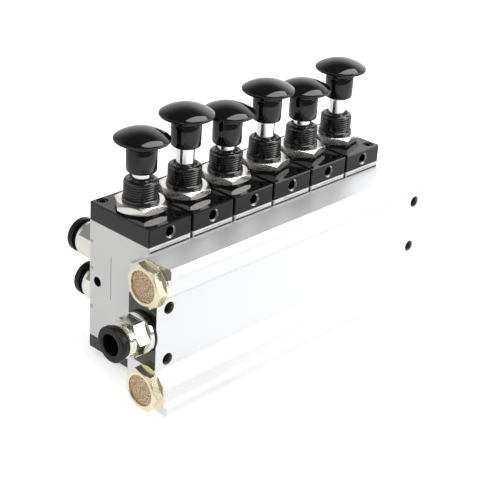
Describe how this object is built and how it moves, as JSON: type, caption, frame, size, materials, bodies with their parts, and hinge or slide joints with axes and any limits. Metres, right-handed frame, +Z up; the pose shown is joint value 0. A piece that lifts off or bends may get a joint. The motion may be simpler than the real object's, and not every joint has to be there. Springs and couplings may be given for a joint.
{
  "type": "valve manifold",
  "caption": "Push-pull hand valves side by side on an aluminium manifold, with push-in tube fittings, silencers and panel mounting holes.",
  "frame": {"origin": "middle of the bounding box's underside", "axes": "+X along the manifold away from the inlet, +Y from the manifold to the tube outlets, +Z up along the spools to the knobs"},
  "size_m": [0.178, 0.0746, 0.1054],
  "materials": {
    "extruded_aluminium": "satin bright anodised",
    "body_aluminium": "satin light grey",
    "black_cap": "gloss",
    "black_knob": "gloss",
    "black_bushing": "black satin thread",
    "bright_rod": "polished",
    "nickel_nut": "nickel plated",
    "nickel_fitting": "nickel plated",
    "black_collet": "satin",
    "black_screw": "blackened steel",
    "plated_steel": "zinc plated",
    "yellow_brass": "machined",
    "sintered_bronze": "granular",
    "black_rubber": "matt"
  },
  "bodies": {
    "manifold_block": {"manifold": "extruded_aluminium", "end_plugs": "plated_steel", "inlet_body": "nickel_fitting", "silencer_upper": "yellow_brass", "silencer_lower": "yellow_brass", "silencer_discs": "sintered_bronze", "valve_body_1": "body_aluminium", "valve_body_2": "body_aluminium", "valve_body_3": "body_aluminium", "valve_body_4": "body_aluminium", "valve_body_5": "body_aluminium", "valve_body_6": "body_aluminium", "top_cap_1": "black_cap", "top_cap_2": "black_cap", "top_cap_3": "black_cap", "top_cap_4": "black_cap", "top_cap_5": "black_cap", "top_cap_6": "black_cap", "bottom_cap_1": "black_cap", "bottom_cap_2": "black_cap", "bottom_cap_3": "black_cap", "bottom_cap_4": "black_cap", "bottom_cap_5": "black_cap", "bottom_cap_6": "black_cap", "bushing_1": "black_bushing", "bushing_2": "black_bushing", "bushing_3": "black_bushing", "bushing_4": "black_bushing", "bushing_5": "black_bushing", "bushing_6": "black_bushing", "lock_nuts": "nickel_nut", "cap_screws": "black_screw", "valve_screws": "black_screw", "outlet_bodies": "nickel_fitting", "seals": "black_rubber"},
    "hand_valve_1": {"spool_1": "bright_rod", "knob_1": "black_knob"},
    "hand_valve_2": {"spool_2": "bright_rod", "knob_2": "black_knob"},
    "hand_valve_3": {"spool_3": "bright_rod", "knob_3": "black_knob"},
    "hand_valve_4": {"spool_4": "bright_rod", "knob_4": "black_knob"},
    "hand_valve_5": {"spool_5": "bright_rod", "knob_5": "black_knob"},
    "hand_valve_6": {"spool_6": "bright_rod", "knob_6": "black_knob"},
    "release_collet_inlet": {"inlet_collet": "black_collet"},
    "release_collet_a1": {"outlet_collet_a1": "black_collet"},
    "release_collet_a2": {"outlet_collet_a2": "black_collet"},
    "release_collet_a3": {"outlet_collet_a3": "black_collet"},
    "release_collet_a4": {"outlet_collet_a4": "black_collet"},
    "release_collet_a5": {"outlet_collet_a5": "black_collet"},
    "release_collet_a6": {"outlet_collet_a6": "black_collet"},
    "release_collet_b1": {"outlet_collet_b1": "black_collet"},
    "release_collet_b2": {"outlet_collet_b2": "black_collet"},
    "release_collet_b3": {"outlet_collet_b3": "black_collet"},
    "release_collet_b4": {"outlet_collet_b4": "black_collet"},
    "release_collet_b5": {"outlet_collet_b5": "black_collet"},
    "release_collet_b6": {"outlet_collet_b6": "black_collet"}
  },
  "joints": [
    {"name": "knob_slide_1", "type": "slide", "parent": "manifold_block", "child": "hand_valve_1", "axis": [0, 0, 1], "range_m": [0, 0.0045]},
    {"name": "knob_slide_2", "type": "slide", "parent": "manifold_block", "child": "hand_valve_2", "axis": [0, 0, 1], "range_m": [-0.0045, 0]},
    {"name": "knob_slide_3", "type": "slide", "parent": "manifold_block", "child": "hand_valve_3", "axis": [0, 0, 1], "range_m": [0, 0.0045]},
    {"name": "knob_slide_4", "type": "slide", "parent": "manifold_block", "child": "hand_valve_4", "axis": [0, 0, 1], "range_m": [-0.0045, 0]},
    {"name": "knob_slide_5", "type": "slide", "parent": "manifold_block", "child": "hand_valve_5", "axis": [0, 0, 1], "range_m": [0, 0.0045]},
    {"name": "knob_slide_6", "type": "slide", "parent": "manifold_block", "child": "hand_valve_6", "axis": [0, 0, 1], "range_m": [-0.0045, 0]},
    {"name": "collet_push_inlet", "type": "slide", "parent": "manifold_block", "child": "release_collet_inlet", "axis": [1, 0, 0], "range_m": [0, 0.0012], "stiffness_N_per_m": 2000, "springref_m": -0.0005},
    {"name": "collet_push_a1", "type": "slide", "parent": "manifold_block", "child": "release_collet_a1", "axis": [0, -1, 0], "range_m": [0, 0.0012], "stiffness_N_per_m": 2000, "springref_m": -0.0005},
    {"name": "collet_push_a2", "type": "slide", "parent": "manifold_block", "child": "release_collet_a2", "axis": [0, -1, 0], "range_m": [0, 0.0012], "stiffness_N_per_m": 2000, "springref_m": -0.0005},
    {"name": "collet_push_a3", "type": "slide", "parent": "manifold_block", "child": "release_collet_a3", "axis": [0, -1, 0], "range_m": [0, 0.0012], "stiffness_N_per_m": 2000, "springref_m": -0.0005},
    {"name": "collet_push_a4", "type": "slide", "parent": "manifold_block", "child": "release_collet_a4", "axis": [0, -1, 0], "range_m": [0, 0.0012], "stiffness_N_per_m": 2000, "springref_m": -0.0005},
    {"name": "collet_push_a5", "type": "slide", "parent": "manifold_block", "child": "release_collet_a5", "axis": [0, -1, 0], "range_m": [0, 0.0012], "stiffness_N_per_m": 2000, "springref_m": -0.0005},
    {"name": "collet_push_a6", "type": "slide", "parent": "manifold_block", "child": "release_collet_a6", "axis": [0, -1, 0], "range_m": [0, 0.0012], "stiffness_N_per_m": 2000, "springref_m": -0.0005},
    {"name": "collet_push_b1", "type": "slide", "parent": "manifold_block", "child": "release_collet_b1", "axis": [0, -1, 0], "range_m": [0, 0.0012], "stiffness_N_per_m": 2000, "springref_m": -0.0005},
    {"name": "collet_push_b2", "type": "slide", "parent": "manifold_block", "child": "release_collet_b2", "axis": [0, -1, 0], "range_m": [0, 0.0012], "stiffness_N_per_m": 2000, "springref_m": -0.0005},
    {"name": "collet_push_b3", "type": "slide", "parent": "manifold_block", "child": "release_collet_b3", "axis": [0, -1, 0], "range_m": [0, 0.0012], "stiffness_N_per_m": 2000, "springref_m": -0.0005},
    {"name": "collet_push_b4", "type": "slide", "parent": "manifold_block", "child": "release_collet_b4", "axis": [0, -1, 0], "range_m": [0, 0.0012], "stiffness_N_per_m": 2000, "springref_m": -0.0005},
    {"name": "collet_push_b5", "type": "slide", "parent": "manifold_block", "child": "release_collet_b5", "axis": [0, -1, 0], "range_m": [0, 0.0012], "stiffness_N_per_m": 2000, "springref_m": -0.0005},
    {"name": "collet_push_b6", "type": "slide", "parent": "manifold_block", "child": "release_collet_b6", "axis": [0, -1, 0], "range_m": [0, 0.0012], "stiffness_N_per_m": 2000, "springref_m": -0.0005}
  ]
}
